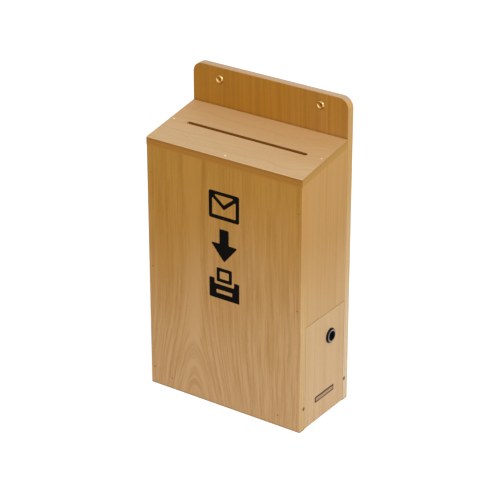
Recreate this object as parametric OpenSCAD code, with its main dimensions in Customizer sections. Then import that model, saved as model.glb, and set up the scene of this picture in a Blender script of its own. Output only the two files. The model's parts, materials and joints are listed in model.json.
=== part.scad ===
// Wooden suggestion box for a wall or a table, with a sloping slotted lid and a locking side door.
// The origin is the middle of the base. The front faces -Y and the door is on the +X side.
// All sizes are in millimetres.

/* [Case] */
// Width of the case across the front
case_w = 250; // [200:1:320]
// Depth of the case from the front face to the wall
case_d = 120; // [100:1:180]
// Height of the case at the front edge of the lid
front_h = 376; // [300:1:480]
// Thickness of the front panel
front_t = 12; // [11:0.5:18]
// Thickness of the side boards, in which the door lies flush
side_t = 12; // [11:0.5:18]
// Width of the small bevel on the outer edges of the boards
arris = 0.6; // [0.2:0.1:1.5]

/* [Lid] */
// Thickness of the lid
lid_t = 11.5; // [8:0.5:15]
// How much higher the lid is where it meets the back board
lid_rise = 17.5; // [4:0.5:22]
// Width of the slot for the papers
slot_w = 5.5; // [5:0.5:12]
// Distance from each end of the slot to the side boards
slot_margin = 16.5; // [8:0.5:40]

/* [Back board] */
// Thickness of the back board
back_t = 12; // [11:0.5:18]
// Height of the back board above the lid
upstand_h = 56.5; // [40:0.5:95]
// Radius of the two top corners
corner_r = 15; // [5:1:30]
// Distance of the hanging holes from the sides of the case
hang_inset = 44; // [20:1:70]
// Distance of the hanging holes below the top edge
hang_drop = 17.5; // [13:0.5:25]

/* [Floor] */
// Thickness of the floor board
floor_t = 9; // [6:0.5:15]
// Height of the empty space under the floor board
floor_rise = 12; // [7:0.5:25]
// Thickness of the tie rail behind the foot of the door
rail_t = 12; // [9:0.5:16]
// Height of the tie rail
rail_h = 25; // [16:1:35]
// Length of the tenon at each end of the tie rail
tenon_l = 6; // [4:0.5:8]

/* [Door] */
// Height of the door opening above the base
door_h = 157; // [130:1:220]
// Gap between the door and the boards in front of it and behind it
door_gap = 0.6; // [0.4:0.1:1.5]
// Gap above the door
door_top_gap = 0.8; // [0.6:0.1:2]
// Gap between the foot of the door and the base
door_foot_gap = 0.6; // [0.3:0.1:1.5]
// Diameter of the two pivot pins
pivot_d = 3; // [2:0.5:4]
// Distance of the pivot from the outer face of the door
pivot_inset = 3.5; // [3:0.5:5]
// Height of the pivot above the base
pivot_z = 8; // [7:0.5:9]
// Thickness of the stop batten
batten_t = 12; // [9:0.5:15]
// Height of the stop batten
batten_h = 25; // [21:1:40]
// How far the stop batten reaches down behind the door
batten_lap = 12; // [6:0.5:16]

/* [Lock] */
// Distance of the lock from the top of the door opening
lock_drop = 38.5; // [34:0.5:44]
// Distance of the lock from the inner face of the back board
lock_inset = 35; // [22:0.5:48]
// Diameter of the lock's head
head_d = 21.5; // [21:0.5:26]
// Height of the lock's head above the door
head_h = 2.8; // [2.4:0.1:4]
// Diameter of the lock's body
lock_body_d = 19; // [17.5:0.5:19.5]
// Width of the lock's body across its two flats
lock_flats = 16.4; // [15:0.1:16.8]
// Diameter of the plug that the key turns
plug_d = 12; // [10:0.5:12.5]
// Diameter of the plug's round face
plug_face_d = 14; // [13.5:0.1:16.2]
// How far the turned cam reaches up behind the stop batten
cam_bite = 11; // [6:0.5:16]
// Width of the cam
cam_w = 16; // [12:0.5:18]
// Thickness of the cam
cam_t = 2; // [1.5:0.1:3]
// Gap between the turned cam and the back of the stop batten
cam_clear = 1.2; // [0.5:0.1:3]

/* [Small parts] */
// Diameter of the hole through each hanging eyelet
eyelet_bore = 6; // [4:0.1:7]
// Diameter of each hanging eyelet's flange
eyelet_d = 12; // [10.5:0.1:16]
// Length of the brads that join the boards
brad_l = 25; // [20:1:30]
// Diameter of the brads
brad_d = 1.5; // [1.2:0.1:2]
// Width of the blank plate on the door
plate_w = 46; // [20:1:60]
// Height of the blank plate
plate_h = 8.5; // [5:0.5:12]
// Height of the middle of the blank plate above the base
plate_z = 34; // [20:1:50]

/* [Hidden] */
$fn = 96;

// Clearances
fit = 0.05;         // pieces that seat in each other, and turning fits
stop_gap = 0.3;     // door to the stop batten and the tie rail
cam_gap = 0.2;      // cam to the back of the lock's body
heel_gap = 0.8;     // floor board to the heel of the door as it turns
cut = 1;            // overrun of every cut

// Faces of the case
front_y = -case_d / 2;
back_y = case_d / 2;
right_x = case_w / 2;
left_x = -case_w / 2;
inner_front_y = front_y + front_t;
inner_back_y = back_y - back_t;
inner_right_x = right_x - side_t;
inner_left_x = left_x + side_t;
inner_d = inner_back_y - inner_front_y;
inner_mid_y = (inner_front_y + inner_back_y) / 2;

// Lid, as heights of its two faces above the base at a place y
lid_run = inner_back_y - front_y;
lid_mid_y = (front_y + inner_back_y) / 2;
lid_angle = atan(lid_rise / lid_run);
lid_plumb_t = lid_t / cos(lid_angle);
function lid_top(y) = front_h + lid_rise * (y - front_y) / lid_run;
function lid_under(y) = lid_top(y) - lid_plumb_t;
slot_l = inner_right_x - inner_left_x - 2 * slot_margin;

// Back board
lid_back_z = lid_top(inner_back_y);
back_h = lid_back_z + upstand_h;
shoulder_z = back_h - corner_r;
hang_x = right_x - hang_inset;
hang_z = back_h - hang_drop;
eyelet_wall = 0.5;
eyelet_rim = 1.2;   // height of the domed flange

// Door, which turns about the pivot; its heel is the bevel on its inner bottom edge
door_t = side_t - stop_gap;
door_inner_x = right_x - door_t;
door_d = inner_d - 2 * door_gap;
door_top_z = door_h - door_top_gap;
door_heel = 3;
pivot_x = right_x - pivot_inset;
heel_reach = norm([pivot_x - door_inner_x, pivot_z - door_foot_gap - door_heel]);
pin_in_board = 8;
pin_in_door = 10;

// Floor board, tie rail and stop batten
floor_top_z = floor_rise + floor_t;
floor_mid_z = floor_rise + floor_t / 2;
floor_right_x = min(inner_right_x, pivot_x - heel_reach) - heel_gap;
rail_mid_x = inner_right_x - rail_t / 2;
rail_mid_z = floor_top_z + rail_h / 2;
rail_shoulder = 2;  // from the rail's inner and outer faces to its tenons
rail_haunch = 4;    // from the rail's top and bottom edges to its tenons
batten_z = door_h - batten_lap;
batten_inner_x = inner_right_x - batten_t;

// Lock, along its own axis: zero at the door's outer face, negative inwards
lock_y = inner_back_y - lock_inset;
lock_z = door_h - lock_drop;
lock_z_to_batten = batten_z - lock_z;
lock_body_l = side_t + batten_t + cam_clear - cam_gap;
head_rim_h = 1.2;   // straight rim under the domed shoulder
head_shoulder = 1.3;
face_d = head_d - 2 * head_shoulder;
ring_t = 0.8;
ring_proud = 0.2;
ring_land = 0.4;    // metal left between the ring and the shoulder
ring_d = face_d - 2 * ring_land;
ring_back = head_h + ring_proud - ring_t;
plug_proud = 0.8;   // plug above the face of the head
plug_face = head_h + plug_proud;
plug_bevel = 0.3;
flange_w = 0.7;     // flange that the ring holds in the head
flange_t = 1.2;
flange_d = plug_face_d + 2 * flange_w;
flange_front = ring_back - fit;
flange_back = flange_front - flange_t;
keyway_l = 8;
keyway_w = 1.8;
keyway_depth = 15;
tail_w = 7;         // square tail that carries the cam
tail_short = 0.2;   // tail ends this far before the back of the cam
cam_front = -lock_body_l - cam_gap;
cam_back = cam_front - cam_t;
cam_l = lock_z_to_batten + cam_bite;   // reach from the plug's axis
cam_hub_r = 9;
cam_screw_d = 4;
cam_screw_l = 10;
cam_screw_head_d = 8;
cam_screw_head_h = 2.4;
recess_l = 5;       // cross recess of the cam's screw
recess_w = 1;
recess_depth = 1.4;

// Toothed washer and nut behind the door
washer_t = 1;
washer_w = 3.2;
washer_d = lock_body_d + 2 * washer_w;
tooth_count = 12;
tooth_w = 2.4;
tooth_h = 1.2;
nut_t = 5;
nut_w = 24;         // across flats
nut_corner_r = nut_w / 2 / cos(30);
nut_bevel_r = 1.2;
nut_bevel_h = 0.7;

// Blank plate
plate_t = 0.6;
plate_r = 0.6;

// Brads: their heads are flush with the wood
brad_head_d = 2.7;
rail_brad_head_d = 4;   // heads of the two brads that hold the tie rail's tenons
brad_head_h = 0.8;
brad_tip = 2;
batten_brad_l = 18;
brad_low = 26;          // lowest brad of the left side above the base
brad_above_door = 27.5; // lowest brad of the upper side panel above the door opening
brad_below_top = 50;    // highest brad below the front edge of the lid
floor_brad_inset = 36;  // from the sides of the case to the brads in the floor
lid_brad_inset = 65;    // from the sides of the case to the brads in the lid's back edge
end_brad_inset = 18;    // from the inner faces of front and back to brads in floor and batten

// Places of the brads in each face, as pairs across and up that face
side_mid_x = right_x - side_t / 2;
side_brad_z = [door_h + brad_above_door, front_h - brad_below_top];
case_brads = concat(
    [for (z = side_brad_z, side = [-1, 1]) [side * side_mid_x, z]],
    [for (side = [-1, 1]) [side * (right_x - floor_brad_inset), floor_mid_z]],
    [[-side_mid_x, brad_low]]);
lid_back_brads = [for (side = [-1, 1])
    [side * (right_x - lid_brad_inset), lid_back_z - lid_plumb_t / 2]];
lid_face_brads = [[-side_mid_x, lid_mid_y], [side_mid_x, lid_mid_y], [0, front_y + front_t / 2]];
end_brad_y = [inner_front_y + end_brad_inset, inner_back_y - end_brad_inset];
tenon_brad_y = [inner_front_y - tenon_l / 2, inner_back_y + tenon_l / 2];
batten_brad_z = (door_h + batten_z + batten_h) / 2;

// Extrudes an outline drawn in Y and Z along X, centred
module along_x(length) {
    translate([-length / 2, 0, 0])
        rotate([90, 0, 90])
            linear_extrude(length)
                children();
}

// Extrudes an outline drawn in X and Z along Y, centred on the inside of the case
module along_y(length) {
    translate([0, inner_mid_y + length / 2, 0])
        rotate([90, 0, 0])
            linear_extrude(length)
                children();
}

// Section of a board whose outer face is towards -Y: that face has bevelled edges
module outer_board(w, t) {
    x = w / 2;
    y = t / 2;
    polygon([[-x, y], [-x, arris - y], [arris - x, -y], [x - arris, -y], [x, arris - y], [x, y]]);
}

// Section of a board with bevels on all four edges
module eased_board(w, t) {
    intersection() {
        outer_board(w, t);
        rotate(180)
            outer_board(w, t);
    }
}

// Everything below the underside of the lid
module under_lid() {
    y0 = front_y - cut;
    y1 = inner_back_y;
    along_x(case_w + 2 * cut)
        polygon([[y0, 0], [y1, 0], [y1, lid_under(y1)], [y0, lid_under(y0)]]);
}

// One brad, with its head flush at the origin and its shank along -Z.
// With play over zero it is the hole that the brad sits in.
module brad(length, play = 0, head_d = brad_head_d) {
    head_overrun = play > 0 ? cut : 0;
    translate([0, 0, -brad_head_h])
        cylinder(d = head_d + 2 * play, h = brad_head_h + head_overrun);
    translate([0, 0, brad_tip - length])
        cylinder(d = brad_d + 2 * play, h = length - brad_tip - brad_head_h);
    translate([0, 0, -length])
        cylinder(d1 = play, d2 = brad_d + 2 * play, h = brad_tip);
}

module front_brad_set(play = 0) {
    for (place = case_brads)
        translate([place[0], front_y, place[1]])
            rotate([90, 0, 0])
                brad(brad_l, play);
}

module back_brad_set(play = 0) {
    for (place = concat(case_brads, lid_back_brads))
        translate([place[0], back_y, place[1]])
            rotate([-90, 0, 0])
                brad(brad_l, play);
}

module lid_brad_set(play = 0) {
    for (place = lid_face_brads)
        translate([place[0], place[1], lid_top(place[1])])
            rotate([lid_angle, 0, 0])
                brad(brad_l, play);
}

module left_side_brad_set(play = 0) {
    for (y = end_brad_y)
        translate([left_x, y, floor_mid_z])
            rotate([0, -90, 0])
                brad(brad_l, play);
}

module tie_rail_brad_set(play = 0) {
    for (y = tenon_brad_y)
        translate([right_x, y, rail_mid_z])
            rotate([0, 90, 0])
                brad(brad_l, play, rail_brad_head_d);
}

module stop_batten_brad_set(play = 0) {
    for (y = end_brad_y)
        translate([batten_inner_x, y, batten_brad_z])
            rotate([0, -90, 0])
                brad(batten_brad_l, play);
}

// Two pins on the pivot's axis, each across the joint between the door and a board
module pivot_pin_set(play = 0) {
    length = pin_in_board + door_gap + pin_in_door;
    starts = [inner_front_y - pin_in_board, inner_back_y + pin_in_board - length];
    for (start = starts)
        translate([pivot_x, start - play, pivot_z])
            rotate([-90, 0, 0])
                cylinder(d = pivot_d + 2 * play, h = length + 2 * play);
}

// The tie rail and its two tenons, or the space that they seat in
module tie_rail_body(play = 0) {
    translate([rail_mid_x, inner_mid_y, rail_mid_z]) {
        cube([rail_t, inner_d, rail_h], center = true);
        cube([rail_t - 2 * (rail_shoulder - play), inner_d + 2 * (tenon_l + play),
              rail_h - 2 * (rail_haunch - play)], center = true);
    }
}

// Moves a piece drawn along the lock's axis to its place in the door
module at_lock() {
    translate([right_x, lock_y, lock_z])
        rotate([0, 90, 0])
            children();
}

// Section of a round bar with two flats
module flatted_bar(d, flats) {
    intersection() {
        circle(d = d);
        square([flats, d + cut], center = true);
    }
}

module front_panel() {
    color("burlywood")
        difference() {
            intersection() {
                translate([0, front_y + front_t / 2, 0])
                    linear_extrude(lid_back_z)
                        outer_board(case_w, front_t);
                under_lid();
            }
            front_brad_set(fit);
            lid_brad_set(fit);
            tie_rail_brad_set(fit);
            tie_rail_body(fit);
            pivot_pin_set(fit);
        }
}

// Top corner of the back board: a disc with bevelled rims
module back_corner() {
    y = back_t / 2;
    rotate([90, 0, 0])
        rotate_extrude()
            polygon([[0, -y], [corner_r - arris, -y], [corner_r, arris - y],
                     [corner_r, y - arris], [corner_r - arris, y], [0, y]]);
}

// Back board: flush below the lid, with all its edges bevelled above it
module back_blank() {
    y = back_t / 2;
    translate([0, back_y - y, 0]) {
        rotate(180)
            linear_extrude(lid_back_z)
                outer_board(case_w, back_t);
        translate([0, 0, lid_back_z])
            linear_extrude(upstand_h - corner_r)
                eased_board(case_w, back_t);
        for (side = [-1, 1])
            translate([side * (right_x - corner_r), 0, shoulder_z])
                back_corner();
        translate([0, 0, shoulder_z])
            along_x(case_w - 2 * corner_r)
                polygon([[-y, -cut], [y, -cut], [y, corner_r - arris], [y - arris, corner_r],
                         [arris - y, corner_r], [-y, corner_r - arris]]);
    }
}

module back_board() {
    color("burlywood")
        difference() {
            back_blank();
            for (side = [-1, 1])
                translate([side * hang_x, back_y + cut, hang_z])
                    rotate([90, 0, 0])
                        cylinder(d = eyelet_bore + 2 * (eyelet_wall + fit), h = back_t + 2 * cut);
            back_brad_set(fit);
            tie_rail_brad_set(fit);
            tie_rail_body(fit);
            pivot_pin_set(fit);
        }
}

// Side board between front and back, from a height up to the underside of the lid
module side_blank(x, bottom_z) {
    intersection() {
        translate([x, inner_front_y, bottom_z])
            cube([side_t, inner_d, lid_back_z - bottom_z]);
        under_lid();
    }
}

module left_side_panel() {
    color("tan")
        difference() {
            side_blank(left_x, 0);
            front_brad_set(fit);
            back_brad_set(fit);
            lid_brad_set(fit);
            left_side_brad_set(fit);
        }
}

module upper_side_panel() {
    color("tan")
        difference() {
            side_blank(inner_right_x, door_h);
            front_brad_set(fit);
            back_brad_set(fit);
            lid_brad_set(fit);
            stop_batten_brad_set(fit);
        }
}

// Slot for the papers, cut plumb so that they drop straight in
module paper_slot() {
    centre_span = slot_l - slot_w;
    translate([0, lid_mid_y, lid_under(front_y) - cut])
        linear_extrude(lid_rise + lid_plumb_t + 2 * cut) {
            square([centre_span, slot_w], center = true);
            for (side = [-1, 1])
                translate([side * centre_span / 2, 0])
                    circle(d = slot_w);
        }
}

module lid() {
    y0 = front_y;
    y1 = inner_back_y;
    color("wheat")
        difference() {
            along_x(case_w)
                polygon([[y0, lid_under(y0)], [y1, lid_under(y1)], [y1, lid_top(y1)],
                         [y0 + arris, lid_top(y0 + arris)], [y0, lid_top(y0) - arris]]);
            paper_slot();
            lid_brad_set(fit);
            back_brad_set(fit);
        }
}

module floor_board() {
    color("tan")
        difference() {
            translate([inner_left_x, inner_front_y, floor_rise])
                cube([floor_right_x - inner_left_x, inner_d, floor_t]);
            front_brad_set(fit);
            back_brad_set(fit);
            left_side_brad_set(fit);
        }
}

module tie_rail() {
    color("burlywood")
        difference() {
            tie_rail_body();
            tie_rail_brad_set(fit);
        }
}

module stop_batten() {
    color("burlywood")
        difference() {
            translate([batten_inner_x, inner_front_y, batten_z])
                cube([batten_t, inner_d, batten_h]);
            stop_batten_brad_set(fit);
        }
}

// Brass eyelet: a tube through the back board with a domed flange on its front face
module eyelet() {
    r = eyelet_bore / 2;
    flange = (eyelet_d - eyelet_bore) / 2;
    dome_r = (flange * flange / 4 + eyelet_rim * eyelet_rim) / (2 * eyelet_rim);
    rotate_extrude() {
        translate([r, -back_t])
            square([eyelet_wall, back_t]);
        intersection() {
            translate([r + flange / 2, eyelet_rim - dome_r])
                circle(r = dome_r);
            translate([r, 0])
                square([flange, eyelet_rim]);
        }
    }
}

module hanging_eyelets() {
    color("gold")
        for (side = [-1, 1])
            translate([side * hang_x, inner_back_y, hang_z])
                rotate([90, 0, 0])
                    eyelet();
}

module front_brads() {
    color("peru") front_brad_set();
}

module back_brads() {
    color("peru") back_brad_set();
}

module lid_brads() {
    color("khaki") lid_brad_set();
}

module left_side_brads() {
    color("peru") left_side_brad_set();
}

module tie_rail_brads() {
    color("saddlebrown") tie_rail_brad_set();
}

module stop_batten_brads() {
    color("silver") stop_batten_brad_set();
}

module pivot_pins() {
    color("silver") pivot_pin_set();
}

module door() {
    x0 = door_inner_x;
    x1 = right_x;
    z0 = door_foot_gap;
    z1 = door_top_z;
    color("tan")
        difference() {
            along_y(door_d)
                polygon([[x0 + door_heel, z0], [x1 - arris, z0], [x1, z0 + arris],
                         [x1, z1 - arris], [x1 - arris, z1], [x0, z1], [x0, z0 + door_heel]]);
            at_lock()
                translate([0, 0, -door_t - cut])
                    linear_extrude(door_t + 2 * cut)
                        flatted_bar(lock_body_d + 2 * fit, lock_flats + 2 * fit);
            pivot_pin_set(fit);
        }
}

module blank_plate() {
    color("dimgray")
        translate([right_x, inner_mid_y, plate_z])
            rotate([90, 0, 90])
                linear_extrude(plate_t) {
                    square([plate_w - 2 * plate_r, plate_h], center = true);
                    square([plate_w, plate_h - 2 * plate_r], center = true);
                    for (x = [-1, 1], y = [-1, 1])
                        translate([x * (plate_w / 2 - plate_r), y * (plate_h / 2 - plate_r)])
                            circle(r = plate_r);
                }
}

// Head of the lock: a straight rim, a domed shoulder and a flat face
module lock_head() {
    r0 = head_d / 2;
    r1 = face_d / 2;
    centre_z = (r1 * r1 - r0 * r0 + head_h * head_h - head_rim_h * head_rim_h)
               / (2 * (head_h - head_rim_h));
    dome_r = norm([r0, head_rim_h - centre_z]);
    intersection() {
        cylinder(r = r0, h = head_h);
        translate([0, 0, centre_z])
            sphere(r = dome_r, $fn = 180);
    }
}

// Lock body with its head, bored for the plug, its flange and the ring
module lock_housing() {
    color("dimgray")
        at_lock()
            difference() {
                union() {
                    lock_head();
                    translate([0, 0, -lock_body_l])
                        linear_extrude(lock_body_l)
                            flatted_bar(lock_body_d, lock_flats);
                }
                translate([0, 0, -lock_body_l - cut])
                    cylinder(d = plug_d + 2 * fit, h = lock_body_l + head_h + 2 * cut);
                translate([0, 0, flange_back - fit])
                    cylinder(d = flange_d + 2 * fit, h = head_h - flange_back + cut);
                translate([0, 0, ring_back])
                    cylinder(d = ring_d + 2 * fit, h = ring_t + cut);
            }
}

// Ring pressed into the head, which keeps the plug in
module lock_face_ring() {
    color("silver")
        at_lock()
            translate([0, 0, ring_back])
                difference() {
                    cylinder(d = ring_d, h = ring_t);
                    translate([0, 0, -cut])
                        cylinder(d = plug_face_d + 2 * fit, h = ring_t + 2 * cut);
                }
}

// Washer with teeth on its rim, against the inner face of the door
module lock_washer() {
    color("lightgray")
        at_lock()
            translate([0, 0, -door_t - washer_t])
                difference() {
                    union() {
                        cylinder(d = washer_d, h = washer_t);
                        for (i = [0:tooth_count - 1])
                            rotate(i * 360 / tooth_count)
                                translate([washer_d / 2, 0, washer_t / 2])
                                    cube([2 * tooth_h, tooth_w, washer_t], center = true);
                    }
                    translate([0, 0, -cut])
                        cylinder(d = lock_body_d + 2 * fit, h = washer_t + 2 * cut);
                }
}

// Hexagonal nut with its corners bevelled on the side away from the washer
module lock_nut() {
    r = nut_corner_r;
    color("lightgray")
        at_lock()
            translate([0, 0, -door_t - washer_t - nut_t])
                difference() {
                    intersection() {
                        cylinder(r = r, h = nut_t, $fn = 6);
                        rotate_extrude()
                            polygon([[0, 0], [r - nut_bevel_r, 0], [r, nut_bevel_h],
                                     [r, nut_t], [0, nut_t]]);
                    }
                    translate([0, 0, -cut])
                        cylinder(d = lock_body_d + 2 * fit, h = nut_t + 2 * cut);
                }
}

// Plug: a face with a keyway, a flange under the ring, a square tail and a hole for the cam's screw
module lock_plug() {
    tail_l = cam_t - tail_short;
    color("black")
        at_lock()
            difference() {
                union() {
                    translate([0, 0, cam_front])
                        cylinder(d = plug_d, h = flange_back - cam_front);
                    translate([0, 0, flange_back])
                        cylinder(d = flange_d, h = flange_t);
                    translate([0, 0, flange_back])
                        cylinder(d = plug_face_d, h = plug_face - plug_bevel - flange_back);
                    translate([0, 0, plug_face - plug_bevel])
                        cylinder(d1 = plug_face_d, d2 = plug_face_d - 2 * plug_bevel, h = plug_bevel);
                    translate([0, 0, cam_front - tail_l / 2])
                        cube([tail_w, tail_w, tail_l], center = true);
                }
                translate([-keyway_l / 2, -keyway_w / 2, plug_face - keyway_depth])
                    cube([keyway_l, keyway_w, keyway_depth + cut]);
                translate([0, 0, cam_back - cut])
                    cylinder(d = cam_screw_d + 2 * fit, h = cam_screw_l + 2 * cut);
            }
}

// Cam at rest: it points at the front of the case, turned away from the stop batten
module lock_cam() {
    tip_y = cam_w / 2 - cam_l;
    color("silver")
        at_lock()
            translate([0, 0, cam_back])
                difference() {
                    linear_extrude(cam_t) {
                        circle(r = cam_hub_r);
                        translate([-cam_w / 2, tip_y])
                            square([cam_w, -tip_y]);
                        translate([0, tip_y])
                            circle(d = cam_w);
                    }
                    translate([0, 0, cam_t / 2])
                        cube([tail_w + 2 * fit, tail_w + 2 * fit, cam_t + 2 * cut], center = true);
                }
}

module cam_screw() {
    color("lightgray")
        at_lock()
            translate([0, 0, cam_back])
                difference() {
                    union() {
                        translate([0, 0, -cam_screw_head_h])
                            cylinder(d = cam_screw_head_d, h = cam_screw_head_h);
                        cylinder(d = cam_screw_d, h = cam_screw_l);
                    }
                    for (turn = [0, 90])
                        rotate(turn)
                            translate([0, 0, -cam_screw_head_h])
                                cube([recess_l, recess_w, 2 * recess_depth], center = true);
                }
}

front_panel();
back_board();
left_side_panel();
upper_side_panel();
lid();
floor_board();
tie_rail();
stop_batten();
hanging_eyelets();
front_brads();
back_brads();
lid_brads();
left_side_brads();
tie_rail_brads();
stop_batten_brads();
pivot_pins();
door();
blank_plate();
lock_housing();
lock_face_ring();
lock_washer();
lock_nut();
lock_plug();
lock_cam();
cam_screw();
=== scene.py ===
"""Finish, lights and camera for the wooden suggestion box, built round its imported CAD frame."""
import json
import math

import bmesh
import bpy
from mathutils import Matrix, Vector


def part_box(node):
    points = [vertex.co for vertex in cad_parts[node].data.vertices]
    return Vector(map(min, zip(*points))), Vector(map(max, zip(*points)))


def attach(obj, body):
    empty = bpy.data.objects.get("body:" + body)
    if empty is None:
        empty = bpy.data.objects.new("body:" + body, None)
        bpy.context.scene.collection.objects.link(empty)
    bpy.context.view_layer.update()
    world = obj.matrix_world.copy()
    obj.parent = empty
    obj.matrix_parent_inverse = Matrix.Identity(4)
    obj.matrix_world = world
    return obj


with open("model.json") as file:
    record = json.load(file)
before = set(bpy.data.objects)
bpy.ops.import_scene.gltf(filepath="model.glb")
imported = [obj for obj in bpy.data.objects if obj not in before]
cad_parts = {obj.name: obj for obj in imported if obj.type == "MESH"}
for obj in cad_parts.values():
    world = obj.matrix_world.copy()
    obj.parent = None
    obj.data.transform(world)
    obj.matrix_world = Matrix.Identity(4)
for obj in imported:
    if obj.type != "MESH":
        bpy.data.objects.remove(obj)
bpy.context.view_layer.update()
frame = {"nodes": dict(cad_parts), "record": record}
NODES = frame["nodes"]
RECORD = frame["record"]

MM = 0.001
X, Y, Z = range(3)

# Camera: the photograph's viewing angle, from the front right and from above
CAMERA_AZIMUTH = 34.6
CAMERA_ELEVATION = 26.2
CAMERA_DISTANCE = 2.832
CAMERA_LENS = 150
CAMERA_CLIP_END = 50
CAMERA_AIM = Vector((0.002, 0, 0.218))

# Light on the object: at level 1 a white surface that faces the light reads as white
SKY_LEVEL = 0.55
LAMP_DISTANCE = 2.6
LAMPS = {
    "key": {"azimuth": 60, "elevation": 38, "size": 1.6, "level": 0.62},
    "fill": {"azimuth": -35, "elevation": 20, "size": 1.6, "level": 0.2},
    "back": {"azimuth": 200, "elevation": 8, "size": 1.0, "level": 0.3},
}

# Floor
FLOOR_SIZE = 12.0
FLOOR_DROP = 0.2 * MM
FLOOR_TONE = 0.45

# Places taken from the frame
case_low, case_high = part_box("front_panel")
lid_low, lid_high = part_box("lid")
side_low, side_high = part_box("upper_side_panel")
door_low, door_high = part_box("door")
plate_low, plate_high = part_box("blank_plate")
nut_low, nut_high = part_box("lock_nut")
eyelet_low, eyelet_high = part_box("hanging_eyelets")
rail_brad_low, rail_brad_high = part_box("tie_rail_brads")

FRONT_Y = case_low.y
FRONT_INSIDE_Y = case_high.y
BACK_INSIDE_Y = lid_high.y
LID_SLOPE = (side_high.z - lid_low.z) / (lid_high.y - lid_low.y)
LID_BACK_Z = lid_high.z
LOCK_Y = (nut_low.y + nut_high.y) / 2
LOCK_Z = (nut_low.z + nut_high.z) / 2
RAIL_BRAD_R = (rail_brad_high.z - rail_brad_low.z) / 2
RAIL_BRAD_Z = rail_brad_low.z + RAIL_BRAD_R
RAIL_BRAD_Y = rail_brad_high.y - RAIL_BRAD_R
EYELET_X = eyelet_high.x - (eyelet_high.z - eyelet_low.z) / 2
EYELET_Z = (eyelet_low.z + eyelet_high.z) / 2
EYELET_BORE_R = RECORD["mounts"][0]["dims"]["hole_r_mm"] * MM

# Painted shade on the walls of the slot in the lid, a little larger than the clear opening of the record
SLOT_Y = (lid_low.y + lid_high.y) / 2
SLOT_CLEAR_X = RECORD["physics"]["openings"][0]["box_m"][1][X]
SLOT_SHADE_X = SLOT_CLEAR_X + 1.5 * MM
SLOT_SHADE_Y = 5 * MM
SLOT_SHADE_BLUR_X = 1 * MM
SLOT_SHADE_BLUR_Y = 2 * MM


def srgb(red, green, blue):
    """The linear colour of a tone given as 0 to 255 on a screen."""
    def linear(level):
        level /= 255
        return level / 12.92 if level <= 0.04045 else ((level + 0.055) / 1.055) ** 2.4
    return (linear(red), linear(green), linear(blue), 1)


# Tones of the wood, dark plies, stains, painted bevel highlight, dark lines and painted shade, and bare
# faces inside
DARK_PORE = srgb(104, 66, 28)
BEVEL_HIGHLIGHT_TONE = srgb(236, 204, 158)
SEAM_AND_SHADE_TONE = srgb(104, 66, 26)
SLOT_SHADE_TONE = srgb(124, 62, 4)
BARE_TONE = srgb(216, 186, 144)
PLY_TONE = srgb(188, 146, 98)
LID_PLY_TONE = srgb(148, 94, 30)
PALE_EDGES = [srgb(244, 220, 184), srgb(208, 164, 97)]
SIDE_TONES = [srgb(215, 178, 132), srgb(195, 149, 76)]
SIDE_LINES = [srgb(190, 148, 94), srgb(180, 134, 66)]
INSIDE_TONES = [srgb(208, 176, 128)] * 2
INSIDE_LINES = [srgb(178, 140, 94)] * 2

# Sizes of the marks in the wood: length along the grain, width across it, thickness into the board
WANDER_WIDTH = 90 * MM
RIPPLE_LENGTH = 14 * MM
RIPPLE_WIDTH = 12 * MM
BEND_THICKNESS = 50 * MM
RING_LENGTH = 900 * MM
RING_THICKNESS = 20 * MM
FINE_WIDTH = 2.8 * MM
FINE_THICKNESS = 4 * MM
FIBRE_LENGTH = 20 * MM
FIBRE_WIDTH = 0.45 * MM
PORE_LENGTH = 6 * MM
PORE_WIDTH = 0.5 * MM
CLOUD_LENGTH = 160 * MM
CLOUD_WIDTH = 50 * MM
PLY_BEND_SIZE = 30 * MM
FLECK_WIDTH = 0.6 * MM
FLECK_LENGTH = 2.5 * MM
BARE_BORDER = 1 * MM
BRAD_STAIN_WIDTH = 2 * MM

# How strongly some marks show
PLY_SHARES = (0.1, 0.35, 0.05, 0.3, 0.12)
LID_PLY_SHARES = (0.0, 0.3, 0.15, 0.45, 0.75)
END_PLY_SHARE = 0.4
PLY_BEND_SHARE = 0.05
PLY_BLUR = 0.03
CLOUD_SHARE = 0.4
PORE_SHARE = 0.3
FLECK_SHARE = 0.2
BARE_SHARE = 0.45
SLOT_SHADE_SHARE = 0.55
BRAD_STAIN_SHARE = 0.6

# Noise levels between which a mark comes in
RING_RANGE = (0.38, 0.72)
FINE_RANGE = (0.4, 0.65)
PORE_RANGE = (0.62, 0.72)
PORE_RING_RANGE = (0.4, 0.6)
FLECK_RANGE = (0.45, 0.75)

# The normal's share along an axis at which a place starts to count as on a face, an end or a side, and
# then fully does. In BEVEL_RANGE it stops counting as on a bevel
FACE_RANGE = (0.45, 0.8)
END_RANGE = (0.5, 0.8)
SIDE_RANGE = (0.5, 0.9)
BEVEL_RANGE = (0.8, 0.95)

# Roughness of the lacquer and what the marks add to it, then the share of each mark in the bump
LACQUER_ROUGH = 0.42
FIBRE_ROUGH = 0.12
PORE_ROUGH = 0.15
BARE_ROUGH = 0.2
FIBRE_RELIEF = 0.5
FINE_RELIEF = 0.3
PORE_RELIEF = 0.7
WOOD_BUMP = 0.06 * MM

# Cathedral figure at the foot of the front: arches round the line heart_x, which turn into straight lines
# above waist_z. blunt rounds their tops and waist that change. lean says how fast they widen downwards
# and reach how far out they go. Above them the board is dark along the flanks, beside the pale heart
CATHEDRAL = {"heart_x": -49 * MM, "waist_z": 115 * MM, "blunt": 18 * MM, "waist": 40 * MM, "lean": 0.28,
             "reach": 160 * MM, "flank": 17 * MM, "flank_width": 9 * MM}

# Pale heart: palest out to the core, gone at its width, and setting in between the two heights
HEART_CORE = 4 * MM
HEART_WIDTH = 12 * MM
HEART_LOW_Z = 60 * MM
HEART_HIGH_Z = 110 * MM
HEART_SHARE = 0.9
FLANK_SHARE = 0.25
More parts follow.
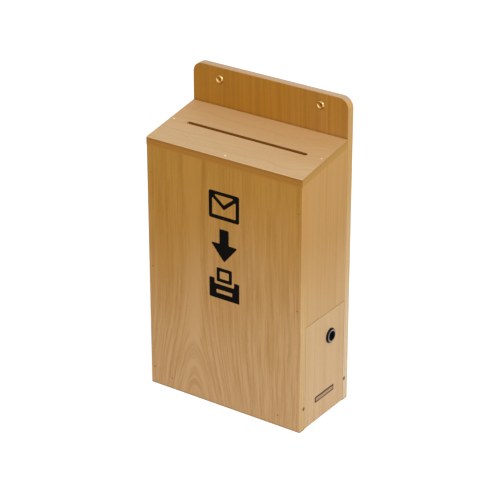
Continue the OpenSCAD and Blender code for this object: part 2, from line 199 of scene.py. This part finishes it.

# Dark lines: part of the board, axis and place of the line, its reach to both sides, and its share
# Painted shade along the foot of the boards, where they stand on the floor
FOOT_SHADE_LINES = [("face", Z, 0.0, 3.0 * MM, 0.45), ("edge", Z, 0.0, 3.0 * MM, 0.45)]
FRONT_SEAM = (Y, FRONT_INSIDE_Y, 0.6 * MM, 0.1)
BACK_SEAM = (Y, BACK_INSIDE_Y, 0.8 * MM, 0.35)
SIDE_SEAMS = [("face", *FRONT_SEAM), ("face", *BACK_SEAM)]
# Painted shade along the left edge of the front, on the side away from the key lamp
LEFT_EDGE_SHADE = ("face", X, case_low.x, 1.2 * MM, 0.5)
# Painted shade on the back board just above the lid, in the corner between them
LID_CORNER_SHADE = ("front", Z, LID_BACK_Z, 5.0 * MM, 0.4)
DOOR_LINES = [
    ("face", Z, door_high.z, 1.2 * MM, 0.5),
    ("edge", Z, door_high.z, 1.2 * MM, 0.5),
    # The line at the door's foot is painted shade; the others are the gaps round the door
    ("face", Z, door_low.z, 2.5 * MM, 0.35),
    ("face", Y, door_low.y, 0.8 * MM, 0.2),
    ("face", Y, door_high.y, 0.8 * MM, 0.3),
]

# Sizes of the marks in metal, paint and film
SCRATCH_SIZE = 0.4 * MM
SCUFF_SIZE = 0.5 * MM
FILM_SCUFF_SIZE = 0.8 * MM
METAL_SMEAR_SIZE = 3 * MM
PAINT_SMEAR_SIZE = 4 * MM
FILM_SMEAR_SIZE = 12 * MM
MOTTLE_SIZE = 2.5 * MM
ZINC_MARK_LENGTH = 4 * MM
ZINC_MARK_WIDTH = 0.25 * MM
RING_WIDTH = 0.12 * MM
BRUSH_LENGTH = 9 * MM
BRUSH_WIDTH = 0.12 * MM
BORDER_WIDTH = 2 * MM
BORDER_BLUR = 0.1 * MM
METAL_BUMP = 0.01 * MM
RING_BUMP = 0.006 * MM
BRUSH_BUMP = 0.008 * MM

# Eyelets: the direction from the middle in which the rim has its arcs of painted shade, at both ends, and
# the two distances outside the bore between which its golden tone ends
SHADE_ARC_X = -0.5
SHADE_ARC_Z = 0.87
SHADE_ARC_RANGE = (0.5, 0.95)
SHADE_ARC_SHARE = 0.9
BORE_TONE_REACH = 0.15 * MM
BORE_TONE_END = 0.4 * MM

# Sign: three generic pictograms down the front
SIGN_X = 1.5 * MM
SIGN_TOP_Z = 328 * MM
SIGN_SIZE = 49 * MM
SIGN_PITCH = 56 * MM
VINYL_T = 0.15 * MM
ARC_STEPS = 6
JOIN_DISTANCE = 0.001 * MM


def feed(socket, value):
    """Links a Value to a socket, or sets a constant on it."""
    if isinstance(value, Value):
        socket.id_data.links.new(value.socket, socket)
    else:
        socket.default_value = value


class Value:
    """The output of a shader node, a number or a colour. Arithmetic on it adds math nodes."""

    def __init__(self, socket):
        self.socket = socket

    def math(self, operation, *others):
        node = self.socket.id_data.nodes.new("ShaderNodeMath")
        node.operation = operation
        for socket, value in zip(node.inputs, (self, *others)):
            feed(socket, value)
        return Value(node.outputs[0])

    def __add__(self, other):
        return self.math("ADD", other)

    def __sub__(self, other):
        return self.math("SUBTRACT", other)

    def __mul__(self, other):
        return self.math("MULTIPLY", other)

    def __truediv__(self, other):
        return self.math("DIVIDE", other)

    def __abs__(self):
        return self.math("ABSOLUTE")

    def least(self, other):
        return self.math("MINIMUM", other)

    def most(self, other):
        return self.math("MAXIMUM", other)

    def sign(self):
        return self.math("SIGN")

    def square(self):
        return self * self

    def root(self):
        return self.math("SQRT")

    def rise(self, low, high):
        """0 below low and 1 above high, with a soft step between them."""
        node = self.socket.id_data.nodes.new("ShaderNodeMapRange")
        node.interpolation_type = "SMOOTHSTEP"
        for name, value in {"Value": self, "From Min": low, "From Max": high}.items():
            feed(node.inputs[name], value)
        return Value(node.outputs[0])

    def fall(self, low, high):
        """1 below low and 0 above high, with a soft step between them."""
        return self.rise(low, high).rest()

    def rest(self):
        """What is left to 1."""
        return self * -1 + 1

    def near(self, place, width):
        """1 at a place, and 0 from that width away."""
        return abs(self - place).fall(0, width)


class Surface:
    """A material whose colour, roughness and bump are worked out from places on the object."""

    def __init__(self, name):
        self.material = bpy.data.materials.new(name)
        self.material.use_nodes = True
        self.nodes = self.material.node_tree.nodes
        self.nodes.clear()
        source = self.nodes.new("ShaderNodeTexCoord")
        self.place = self.split(Value(source.outputs["Object"]))
        self.normal = self.split(Value(source.outputs["Normal"]))

    def split(self, vector):
        node = self.nodes.new("ShaderNodeSeparateXYZ")
        feed(node.inputs[0], vector)
        return [Value(output) for output in node.outputs]

    def noise(self, parts, detail=2.0, roughness=0.5):
        """Smooth noise round 0.5. Each part is a distance divided by the size of the blotches."""
        vector = self.nodes.new("ShaderNodeCombineXYZ")
        for socket, part in zip(vector.inputs, parts):
            feed(socket, part)
        node = self.nodes.new("ShaderNodeTexNoise")
        feed(node.inputs["Vector"], Value(vector.outputs[0]))
        feed(node.inputs["Scale"], 1.0)
        feed(node.inputs["Detail"], detail)
        feed(node.inputs["Roughness"], roughness)
        return Value(node.outputs[0])

    def blotches(self, size, detail=2.0, roughness=0.5):
        """Noise with blotches of one size in all directions."""
        return self.noise([part / size for part in self.place], detail, roughness)

    def mix(self, share, first, second):
        """The first colour where share is 0, the second where it is 1."""
        node = self.nodes.new("ShaderNodeMix")
        node.data_type = "RGBA"
        sockets = {socket.identifier: socket for socket in node.inputs}
        feed(sockets["Factor_Float"], share)
        feed(sockets["A_Color"], first)
        feed(sockets["B_Color"], second)
        return Value(node.outputs[2])

    def steps(self, share, levels):
        """Equal steps between levels as share goes from 0 to 1, with slightly soft borders."""
        total = share * 0 + levels[0]
        for i in range(1, len(levels)):
            border = i / len(levels)
            step = share.rise(border - PLY_BLUR, border + PLY_BLUR)
            total = total + step * (levels[i] - levels[i - 1])
        return total

    def finish(self, colour, roughness, height, depth, metallic=0.0, specular=0.5):
        """Wires the shader. The bump is height times depth, which is a length."""
        shader = self.nodes.new("ShaderNodeBsdfPrincipled")
        feed(shader.inputs["Base Color"], colour)
        feed(shader.inputs["Roughness"], roughness)
        feed(shader.inputs["Metallic"], metallic)
        feed(shader.inputs["Specular IOR Level"], specular)
        bump = self.nodes.new("ShaderNodeBump")
        feed(bump.inputs["Distance"], depth)
        feed(bump.inputs["Height"], height)
        feed(shader.inputs["Normal"], Value(bump.outputs[0]))
        output = self.nodes.new("ShaderNodeOutputMaterial")
        feed(output.inputs["Surface"], Value(shader.outputs[0]))
        return self.material


class Board(Surface):
    """The surface of a wooden board, with places along its grain, across it and into it.

    grain and face are the axes that the fibres run along and that the two faces point along. seed shifts
    the noise, so that no two boards look alike."""

    def __init__(self, name, node, grain, face, seed):
        super().__init__(name)
        self.seed = seed
        self.across = X + Y + Z - grain - face
        self.low, self.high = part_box(node)
        self.along = self.place[grain]
        self.width = self.place[self.across]
        self.depth = self.place[face]
        self.bottom = self.low[face]
        self.top = self.high[face]
        if node == "lid":
            self.depth = self.depth - self.place[Y] * LID_SLOPE
            self.bottom = self.low.z - LID_SLOPE * self.low.y
            self.top = self.high.z - LID_SLOPE * self.high.y
        self.on_face = abs(self.normal[face]).rise(*FACE_RANGE)
        self.at_end = abs(self.normal[grain]).rise(*END_RANGE)

    def waved(self, wave, ripple):
        """The place across the board, bent by the slow wave and the short ripple of the fibres."""
        wave_height, wave_length = wave
        wander = self.noise([self.along / wave_length + self.seed, self.width / WANDER_WIDTH,
                             self.depth / BEND_THICKNESS + self.seed], detail=1.0)
        place = self.width + (wander - 0.5) * wave_height
        if ripple:
            wobble = self.noise([self.along / RIPPLE_LENGTH + self.seed, self.width / RIPPLE_WIDTH,
                                 self.depth / BEND_THICKNESS], detail=1.0)
            place = place + (wobble - 0.5) * ripple
        return place

    def arched(self, place, arches):
        """The place across the board, bent on so that straight rings become arches."""
        from_heart = place - arches["heart_x"]
        radius = (from_heart.square() + arches["blunt"] ** 2).root()
        above = self.along - arches["waist_z"]
        taper = ((above.square() + arches["waist"] ** 2).root() - above) * (arches["lean"] / 2)
        return radius - taper * abs(from_heart).fall(0, arches["reach"])

    def cleared(self, dark, place, arches):
        """The share of the dark lines, cleared from the heart above the arches and raised beside it."""
        from_heart = place - arches["heart_x"]
        upper = self.along.rise(HEART_LOW_Z, HEART_HIGH_Z)
        heart = abs(from_heart).fall(HEART_CORE, HEART_WIDTH) * upper
        flank = from_heart.near(arches["flank"], arches["flank_width"]) * upper
        return dark * (heart * -HEART_SHARE + 1) + flank * FLANK_SHARE

    def height(self, axis):
        """How far up an axis a place is, from 0 to 1, made cloudy."""
        cloud = self.noise([self.along / CLOUD_LENGTH + self.seed, self.width / CLOUD_WIDTH,
                            self.depth / CLOUD_WIDTH], detail=1.0)
        share = (self.place[axis] - self.low[axis]) / (self.high[axis] - self.low[axis])
        return share + (cloud - 0.5) * CLOUD_SHARE

    def lean(self, tilt):
        """A slope of that tilt across the board, with 0 in its middle."""
        low, high = self.low[self.across], self.high[self.across]
        return (self.width - (low + high) / 2) * (tilt / (high - low))

    def plied(self, edge, dark_ply, ply_shares):
        """The colour of the edges with the plies and short flecks in it. End grain shows less of them."""
        bend = self.noise([self.along / PLY_BEND_SIZE, self.width / PLY_BEND_SIZE, self.seed], detail=1.0)
        share = (self.depth - self.bottom) / (self.top - self.bottom) + (bend - 0.5) * PLY_BEND_SHARE
        ply = self.steps(share, ply_shares) * (self.at_end * (END_PLY_SHARE - 1) + 1)
        fleck = self.noise([self.place[X] / FLECK_WIDTH, self.place[Y] / FLECK_WIDTH,
                            self.place[Z] / FLECK_LENGTH])
        return self.mix(ply + fleck.rise(*FLECK_RANGE) * FLECK_SHARE, edge, dark_ply)

    def lined(self, colour, seam_and_shade_lines):
        """The colour with dark lines in the joints, and with painted shade along the foot, the left edge of
        the front and the corner above the lid.
        """
        to_front = (self.normal[Y] * -1).rise(*SIDE_RANGE)
        parts = {"face": self.on_face, "edge": self.on_face.rest(), "front": to_front}
        for part, axis, place, reach, share in seam_and_shade_lines:
            line = self.place[axis].near(place, reach) * parts[part]
            colour = self.mix(line * share, colour, SEAM_AND_SHADE_TONE)
        return colour

    def slot_shade(self):
        """1 on the walls of the slot in the lid, where shade is painted."""
        near_x = abs(self.place[X]).fall(SLOT_SHADE_X, SLOT_SHADE_X + SLOT_SHADE_BLUR_X)
        near_y = abs(self.place[Y] - SLOT_Y).fall(SLOT_SHADE_Y, SLOT_SHADE_Y + SLOT_SHADE_BLUR_Y)
        return near_x * near_y * self.on_face.rest()

    def brad_stain(self):
        """1 round the heads of the tie rail's brads, on the right side of the case."""
        off_y = abs(self.place[Y]) - RAIL_BRAD_Y
        off_z = self.place[Z] - RAIL_BRAD_Z
        radius = (off_y.square() + off_z.square()).root()
        to_right = self.normal[X].rise(*SIDE_RANGE)
        return radius.fall(RAIL_BRAD_R, RAIL_BRAD_R + BRAD_STAIN_WIDTH) * to_right


def wood(name, node, grain, face, seed, tones, lines, edges,
         ends=None, plies=PLY_TONE, ply_shares=PLY_SHARES,
         fade_axis=None, fade_span=(0.1, 0.9), fade_tilt=0.0, edge_span=None,
         wave=(12 * MM, 220 * MM), ripple=0.0, arches=None,
         ring_size=7 * MM, ring_share=0.4, fine_length=300 * MM, fine_share=0.3,
         seam_and_shade_lines=(), bevel_highlight_share=0.3, bare=0, bare_top=None, specular=0.15):
    """Plywood with a satin lacquer.

    tones, lines and edges are the colours of the faces, of their dark grain lines and of the long edges,
    each at the low and at the high end of the fade. ends is the colour of the end grain and plies that of
    the dark plies, and ply_shares says how much of it each ply has.
    The fade runs along the grain, or else along fade_axis, between the two heights of fade_span, and
    fade_tilt makes it lean across the board. The edges can have a span of their own. On the back board and
    the lid the fade is painted shade, and on the front it is partly painted light.
    wave is the height and the length of the fibres' slow waves, ripple the height of their short ones, and
    arches describes a cathedral figure.
    ring_size is the width of the growth rings, fine_length the length of the fine lines between them, and
    ring_share and fine_share say how dark both are.
    seam_and_shade_lines are dark lines, such as DOOR_LINES: in the joints, and as painted shade along the
    foot, the left edge and the corner above the lid. bevel_highlight_share says how strongly a painted
    highlight pales the bevels. bare is the side, -1 or 1, of the face that has no lacquer, up to the height
    bare_top if one is given."""
    board = Board(name, node, grain, face, seed)
    place = board.waved(wave, ripple)
    rings = board.arched(place, arches) if arches else place

    # Growth rings, fine lines, fibres and pores
    broad = board.noise([rings / ring_size + seed, board.along / RING_LENGTH, board.depth / RING_THICKNESS],
                        detail=3.0, roughness=0.55)
    fine = board.noise([rings / FINE_WIDTH + seed, board.along / fine_length, board.depth / FINE_THICKNESS],
                       detail=3.0, roughness=0.6)
    fibre = board.noise([board.width / FIBRE_WIDTH + seed, board.along / FIBRE_LENGTH,
                         board.depth / FIBRE_WIDTH])
    spots = board.noise([board.width / PORE_WIDTH, board.along / PORE_LENGTH + seed,
                         board.depth / PORE_WIDTH], detail=1.0)
    pore = spots.rise(*PORE_RANGE) * broad.rise(*PORE_RING_RANGE)
    dark = broad.rise(*RING_RANGE) * ring_share + fine.rise(*FINE_RANGE) * fine_share
    if arches:
        dark = board.cleared(dark, place, arches)

    # Faces and edges
    height = board.height(grain if fade_axis is None else fade_axis)
    face_height = (height - board.lean(fade_tilt)).rise(*fade_span)
    edge_height = height.rise(*(edge_span or fade_span))
    tone = board.mix(dark, board.mix(face_height, *tones), board.mix(face_height, *lines))
    tone = board.mix(pore * PORE_SHARE, tone, DARK_PORE)
    edge = board.mix(edge_height, *edges)
    if ends:
        edge = board.mix(board.at_end, edge, ends)
    edge = board.plied(edge, plies, ply_shares)
    colour = board.mix(board.on_face, edge, tone)

    # Painted highlight on the bevels, dark lines in the joints with painted shade along some, painted shade
    # in the slot, and stains round the brads
    highlight_mask = board.on_face * abs(board.normal[face]).fall(*BEVEL_RANGE)
    colour = board.mix(highlight_mask * bevel_highlight_share, colour, BEVEL_HIGHLIGHT_TONE)
    colour = board.lined(colour, seam_and_shade_lines)
    if node == "lid":
        colour = board.mix(board.slot_shade() * SLOT_SHADE_SHARE, colour, SLOT_SHADE_TONE)
    if node in ("front_panel", "back_board"):
        colour = board.mix(board.brad_stain() * BRAD_STAIN_SHARE, colour, SEAM_AND_SHADE_TONE)

    # Roughness and relief, and the face that has no lacquer
    rough = fibre * FIBRE_ROUGH + LACQUER_ROUGH + pore * PORE_ROUGH
    if bare:
        inside = (board.normal[face] * bare).rise(*SIDE_RANGE)
        if bare_top:
            inside = inside * board.place[Z].fall(bare_top - BARE_BORDER, bare_top)
        colour = board.mix(inside * BARE_SHARE, colour, BARE_TONE)
        rough = rough + inside * BARE_ROUGH
    relief = fibre * FIBRE_RELIEF + fine * FINE_RELIEF - pore * PORE_RELIEF
    return board.finish(colour, rough, relief, WOOD_BUMP, specular=specular)


# The front pales towards its foot: partly the wood's own tone, partly painted light reflected from the
# floor
def front_wood():
    tones = [srgb(212, 171, 124), srgb(181, 130, 53)]
    lines = [srgb(178, 132, 74), srgb(164, 112, 38)]
    edges = [srgb(223, 186, 129), srgb(199, 147, 75)]
    return wood("front_veneer", "front_panel", Z, Y, 3.1, tones, lines, edges,
                fade_span=(-0.05, 0.98), fade_tilt=0.2, edge_span=(0.3, 0.9),
                arches=CATHEDRAL, ripple=2.4 * MM, fine_length=80 * MM, fine_share=0.42,
                seam_and_shade_lines=[("edge", *FRONT_SEAM), LEFT_EDGE_SHADE, *FOOT_SHADE_LINES], bare=1)


# The back board deepens to gold towards its top, on both faces: painted shade on the upstand above the lid
def back_wood():
    tones = [srgb(208, 164, 112), srgb(172, 117, 36)]
    lines = [srgb(178, 132, 74), srgb(144, 93, 28)]
    return wood("back_veneer", "back_board", Z, Y, 7.7, tones, lines, PALE_EDGES, ends=srgb(195, 163, 129),
                fade_span=(-0.1, 0.95), fade_tilt=0.5, edge_span=(0.0, 0.85),
                ring_size=5 * MM, ring_share=0.3,
                seam_and_shade_lines=[("edge", *BACK_SEAM), LID_CORNER_SHADE, *FOOT_SHADE_LINES],
                bare=-1, bare_top=LID_BACK_Z - 5 * MM, specular=0.1)


def left_side_wood():
    return wood("left_veneer", "left_side_panel", Z, X, 11.3, SIDE_TONES, SIDE_LINES, SIDE_TONES,
                seam_and_shade_lines=SIDE_SEAMS + FOOT_SHADE_LINES, bare=1)


def upper_side_wood():
    tones = [srgb(211, 171, 119), srgb(198, 151, 88)]
    return wood("side_veneer", "upper_side_panel", Z, X, 5.9, tones, SIDE_LINES, SIDE_TONES,
                fade_span=(0.0, 0.55), ring_share=0.2, seam_and_shade_lines=SIDE_SEAMS, bare=-1)


def door_wood():
    tones = [srgb(224, 189, 146), srgb(217, 182, 135)]
    lines = [srgb(206, 166, 118)] * 2
    return wood("door_veneer", "door", Z, X, 15.2, tones, lines, PALE_EDGES,
                fade_span=(0.0, 1.0), ring_share=0.35, seam_and_shade_lines=DOOR_LINES, bare=-1)


# The lid darkens towards its back: painted shade from the upstand. Its front bevel carries a strong painted
# highlight
def lid_wood():
    tones = [srgb(206, 172, 128), srgb(199, 156, 103)]
    lines = [srgb(190, 150, 100)] * 2
    edges = [srgb(172, 118, 43)] * 2
    return wood("lid_veneer", "lid", X, Z, 21.4, tones, lines, edges, ends=srgb(191, 145, 71),
                plies=LID_PLY_TONE, ply_shares=LID_PLY_SHARES, fade_axis=Y,
                wave=(70 * MM, 120 * MM), ring_share=0.25, bevel_highlight_share=0.8, bare=-1)


def inner_wood(name, node, grain, face, seed):
    """Plain wood of the pieces inside."""
    return wood(name, node, grain, face, seed, INSIDE_TONES, INSIDE_LINES, PALE_EDGES)



def scratches(surface):
    """Fine scratches that all brass has."""
    return surface.blotches(SCRATCH_SIZE, detail=3.0, roughness=0.7)


def brad_brass(name):
    """Pale brass of the small brads in the lid."""
    s = Surface(name)
    scratch = scratches(s)
    return s.finish(srgb(255, 238, 206), scratch * 0.2 + 0.3, scratch, METAL_BUMP, metallic=0.6)


def eyelet_brass(name):
    """Polished brass, with painted shade in two arcs on the rim, and golden brown in the bore."""
    s = Surface(name)
    scratch = scratches(s)
    colour = s.mix(s.blotches(METAL_SMEAR_SIZE), srgb(230, 194, 132), srgb(214, 172, 104))
    from_x = s.place[X] - s.place[X].sign() * EYELET_X
    from_z = s.place[Z] - EYELET_Z
    radius = (from_x.square() + from_z.square()).root()
    shade_arc = (abs(from_z * SHADE_ARC_Z + from_x * SHADE_ARC_X) / radius).rise(*SHADE_ARC_RANGE)
    colour = s.mix(shade_arc * SHADE_ARC_SHARE, colour, srgb(158, 110, 50))
    inner = radius.fall(EYELET_BORE_R + BORE_TONE_REACH, EYELET_BORE_R + BORE_TONE_END)
    colour = s.mix(inner, colour, srgb(206, 160, 62))
    rough = scratch * 0.15 + 0.15 + inner * 0.35
    specular = inner * -0.4 + 0.5
    return s.finish(colour, rough, scratch, METAL_BUMP, metallic=inner * -0.8 + 1, specular=specular)


def painted(name, light, dark, rough, specular):
    """Painted or lacquered metal with small scuffs."""
    s = Surface(name)
    scuff = s.blotches(SCUFF_SIZE, detail=3.0, roughness=0.6)
    colour = s.mix(s.blotches(PAINT_SMEAR_SIZE).rise(0.35, 0.65), light, dark)
    return s.finish(colour, scuff * 0.2 + rough, scuff, METAL_BUMP, specular=specular)


def zinc(name):
    """Zinc-plated steel with fine directional marks and a faint mottling."""
    s = Surface(name)
    marks = s.noise([s.place[X] / ZINC_MARK_LENGTH, s.place[Y] / ZINC_MARK_WIDTH,
                     s.place[Z] / ZINC_MARK_WIDTH])
    mottle = s.blotches(MOTTLE_SIZE, detail=3.0)
    colour = s.mix(mottle.rise(0.3, 0.7), srgb(196, 197, 196), srgb(168, 168, 166))
    return s.finish(colour, marks * 0.2 + 0.25, marks, METAL_BUMP, metallic=1.0)


def turned(name, light, dark, rough):
    """Metal turned round the axis of the lock, with fine rings."""
    s = Surface(name)
    radius = ((s.place[Y] - LOCK_Y).square() + (s.place[Z] - LOCK_Z).square()).root()
    rings = s.noise([radius / RING_WIDTH, 0.0, 0.0])
    colour = s.mix(s.blotches(METAL_SMEAR_SIZE).rise(0.3, 0.7), light, dark)
    return s.finish(colour, rings * 0.15 + rough, rings, RING_BUMP, metallic=1.0)


def plate_metal(name):
    """Brushed plate with a dark printed border."""
    s = Surface(name)
    middle = (plate_low + plate_high) / 2
    half = (plate_high - plate_low) / 2
    from_end = abs(s.place[Y] - middle.y) * -1 + half.y
    from_side = abs(s.place[Z] - middle.z) * -1 + half.z
    border = from_end.least(from_side).fall(BORDER_WIDTH - BORDER_BLUR, BORDER_WIDTH + BORDER_BLUR)
    brushed = s.noise([s.place[Y] / BRUSH_LENGTH, s.place[Z] / BRUSH_WIDTH, s.place[X] / BRUSH_WIDTH])
    colour = s.mix(brushed.rise(0.3, 0.7), srgb(180, 147, 109), srgb(156, 123, 90))
    colour = s.mix(border, colour, srgb(70, 42, 12))
    return s.finish(colour, brushed * 0.2 + 0.3, brushed, BRUSH_BUMP, metallic=0.7)


def vinyl_film(name):
    """Black sign film with a soft sheen and a few fine marks."""
    s = Surface(name)
    scuff = s.blotches(FILM_SCUFF_SIZE, detail=3.0, roughness=0.6)
    colour = s.mix(s.blotches(FILM_SMEAR_SIZE), srgb(12, 10, 10), srgb(20, 17, 16))
    return s.finish(colour, scuff * 0.15 + 0.4, scuff, METAL_BUMP, specular=0.012)


finishes = {
    "front_panel": front_wood(),
    "back_board": back_wood(),
    "left_side_panel": left_side_wood(),
    "upper_side_panel": upper_side_wood(),
    "door": door_wood(),
    "lid": lid_wood(),
    "floor_board": inner_wood("floor_veneer", "floor_board", X, Z, 27.5),
    "tie_rail": inner_wood("rail_wood", "tie_rail", Y, X, 31.8),
    "stop_batten": inner_wood("batten_wood", "stop_batten", Y, X, 37.6),
    "hanging_eyelets": eyelet_brass("eyelet_brass"),
    "lid_brads": brad_brass("bright_brad_brass"),
}
tan_paint = painted("tan_brad_paint", srgb(164, 118, 66), srgb(144, 102, 54), 0.35, specular=0.15)
dark_paint = painted("dark_brad_paint", srgb(130, 92, 42), srgb(108, 74, 32), 0.35, specular=0.05)
black_paint = painted("lock_black", srgb(34, 26, 18), srgb(22, 17, 13), 0.25, specular=0.06)
plug_paint = painted("plug_black", srgb(9, 9, 12), srgb(5, 5, 7), 0.35, specular=0.003)
steel = zinc("zinc_steel")
for node in ("front_brads", "back_brads", "left_side_brads"):
    finishes[node] = tan_paint
for node in ("stop_batten_brads", "pivot_pins", "lock_washer", "lock_nut", "lock_cam", "cam_screw"):
    finishes[node] = steel
finishes["tie_rail_brads"] = dark_paint
finishes["lock_housing"] = black_paint
finishes["lock_plug"] = plug_paint
finishes["lock_face_ring"] = turned("ring_metal", srgb(156, 150, 144), srgb(130, 124, 118), 0.35)
finishes["blank_plate"] = plate_metal("plate_metal")

for node, material in finishes.items():
    slots = NODES[node].data.materials
    slots.clear()
    slots.append(material)

# Sign on the front
vinyl = vinyl_film("vinyl_film")


def rounded(points, radius):
    """The outline through points, with each corner replaced by an arc of about that radius."""
    outline = []
    count = len(points)
    for i, corner in enumerate(points):
        corner = Vector(corner)
        before = (Vector(points[i - 1]) - corner).normalized()
        after = (Vector(points[(i + 1) % count]) - corner).normalized()
        half = before.angle(after) / 2
        reach = radius / math.tan(half)
        start, end = corner + before * reach, corner + after * reach
        centre = corner + (before + after).normalized() * (radius / math.sin(half))
        for step in range(ARC_STEPS + 1):
            share = step / ARC_STEPS
            spoke = (start - centre).lerp(end - centre, share).normalized() * radius
            outline.append(centre + spoke)
    return outline


def box_points(left, low, right, high):
    """The corners of an upright rectangle."""
    return [(left, low), (right, low), (right, high), (left, high)]


def pictogram(name, outlines, middle_z):
    """A thin vinyl sign on the front panel. Outlines are in mm from its middle; inner ones are holes."""
    curve = bpy.data.curves.new(name, "CURVE")
    curve.dimensions = "2D"
    curve.fill_mode = "BOTH"
    curve.extrude = VINYL_T / 2
    for outline in outlines:
        spline = curve.splines.new("POLY")
        spline.points.add(len(outline) - 1)
        for point, place in zip(spline.points, outline):
            point.co = (place[0] * MM, place[1] * MM, 0, 1)
        spline.use_cyclic_u = True
    drawn = bpy.data.objects.new(name + "_curve", curve)
    bpy.context.scene.collection.objects.link(drawn)
    bpy.context.view_layer.update()
    mesh = bpy.data.meshes.new_from_object(drawn)
    bpy.data.objects.remove(drawn)
    mesh.name = name
    built = bmesh.new()
    built.from_mesh(mesh)
    bmesh.ops.remove_doubles(built, verts=built.verts, dist=JOIN_DISTANCE)
    for vertex in built.verts:
        across, up, out = vertex.co
        vertex.co = (SIGN_X + across, FRONT_Y - VINYL_T / 2 - out, middle_z + up)
    bmesh.ops.recalc_face_normals(built, faces=built.faces)
    built.to_mesh(mesh)
    built.free()
    mesh.materials.clear()
    mesh.materials.append(vinyl)
    sign = bpy.data.objects.new(name, mesh)
    bpy.context.scene.collection.objects.link(sign)
    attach(sign, "case")


# Outlines in mm from the middle of each pictogram: the outer ones first, then the holes in them
ENVELOPE = [
    rounded(box_points(-24.5, -18, 24.5, 22), 3),
    rounded([(-16.5, 17), (16.5, 17), (0, 4)], 1),
    rounded([(-19, 12.5), (0, -3), (19, 12.5), (19, -12.5), (-19, -12.5)], 1),
]
ARROW = [rounded([(-7.5, 24), (7.5, 24), (7.5, 2), (22, 2), (0, -24), (-22, 2), (-7.5, 2)], 1.5)]
TRAY = [
    rounded([(-24.5, 5), (-24.5, -24.5), (24.5, -24.5), (24.5, 5),
             (16, 5), (16, -3), (-16, -3), (-16, 5)], 1.5),
    rounded(box_points(-13, -16.5, 13, -11), 1),
]
SLIP = [
    rounded(box_points(-12.5, 1, 12.5, 22), 1.5),
    rounded(box_points(-7.5, 6, 7.5, 17), 1),
]
middle = SIGN_TOP_Z - SIGN_SIZE / 2
pictogram("sign_envelope", ENVELOPE, middle)
pictogram("sign_arrow", ARROW, middle - SIGN_PITCH)
pictogram("sign_tray", TRAY + SLIP, middle - 2 * SIGN_PITCH)


def white_seen(nodes):
    """1 for the camera, mirrors and glass, which see the studio as white, and 0 for other rays."""
    path = nodes.new("ShaderNodeLightPath")
    seen = Value(path.outputs["Is Camera Ray"])
    for ray in ("Is Glossy Ray", "Is Transmission Ray"):
        seen = seen.most(Value(path.outputs[ray]))
    return seen


def make_world():
    world = bpy.data.worlds.new("studio")
    world.use_nodes = True
    nodes = world.node_tree.nodes
    nodes.clear()
    background = nodes.new("ShaderNodeBackground")
    feed(background.inputs["Color"], (1, 1, 1, 1))
    feed(background.inputs["Strength"], white_seen(nodes) * (1 - SKY_LEVEL) + SKY_LEVEL)
    output = nodes.new("ShaderNodeOutputWorld")
    feed(output.inputs["Surface"], Value(background.outputs[0]))
    bpy.context.scene.world = world


def make_floor():
    """A pale floor that reads white away from the object and keeps its soft shadow."""
    built = bmesh.new()
    bmesh.ops.create_grid(built, x_segments=1, y_segments=1, size=FLOOR_SIZE / 2)
    mesh = bpy.data.meshes.new("floor")
    built.to_mesh(mesh)
    built.free()
    floor = bpy.data.objects.new("floor", mesh)
    floor.location.z = -FLOOR_DROP
    bpy.context.scene.collection.objects.link(floor)
    material = bpy.data.materials.new("floor")
    material.use_nodes = True
    nodes = material.node_tree.nodes
    nodes.clear()
    shader = nodes.new("ShaderNodeBsdfPrincipled")
    feed(shader.inputs["Base Color"], (FLOOR_TONE, FLOOR_TONE, FLOOR_TONE, 1))
    feed(shader.inputs["Roughness"], 1.0)
    feed(shader.inputs["Specular IOR Level"], 0.0)
    feed(shader.inputs["Emission Color"], (1, 1, 1, 1))
    feed(shader.inputs["Emission Strength"], white_seen(nodes) * (1 - FLOOR_TONE * SKY_LEVEL))
    output = nodes.new("ShaderNodeOutputMaterial")
    feed(output.inputs["Surface"], Value(shader.outputs[0]))
    mesh.materials.append(material)


def direction(azimuth, elevation):
    """Unit vector for two angles in degrees; azimuth 0 is the front and 90 the right side."""
    around, up = math.radians(azimuth), math.radians(elevation)
    return Vector((math.sin(around) * math.cos(up), -math.cos(around) * math.cos(up), math.sin(up)))


def look_at(thing, target):
    """Turns a lamp or a camera towards a place."""
    thing.rotation_euler = (target - thing.location).to_track_quat("-Z", "Y").to_euler()


def make_lamp(name, azimuth, elevation, size, level):
    """Square soft light. By itself it shows a white surface that faces it at the given level."""
    light = bpy.data.lights.new(name, "AREA")
    light.size = size
    light.energy = level * (math.pi * LAMP_DISTANCE) ** 2
    lamp = bpy.data.objects.new(name, light)
    lamp.location = CAMERA_AIM + direction(azimuth, elevation) * LAMP_DISTANCE
    look_at(lamp, CAMERA_AIM)
    bpy.context.scene.collection.objects.link(lamp)


def make_camera():
    data = bpy.data.cameras.new("camera")
    data.lens = CAMERA_LENS
    data.clip_end = CAMERA_CLIP_END
    camera = bpy.data.objects.new("camera", data)
    camera.location = CAMERA_AIM + direction(CAMERA_AZIMUTH, CAMERA_ELEVATION) * CAMERA_DISTANCE
    look_at(camera, CAMERA_AIM)
    bpy.context.scene.collection.objects.link(camera)
    bpy.context.scene.camera = camera


make_world()
make_floor()
for name, lamp in LAMPS.items():
    make_lamp(name, **lamp)
make_camera()
bpy.context.scene.view_settings.view_transform = "Standard"
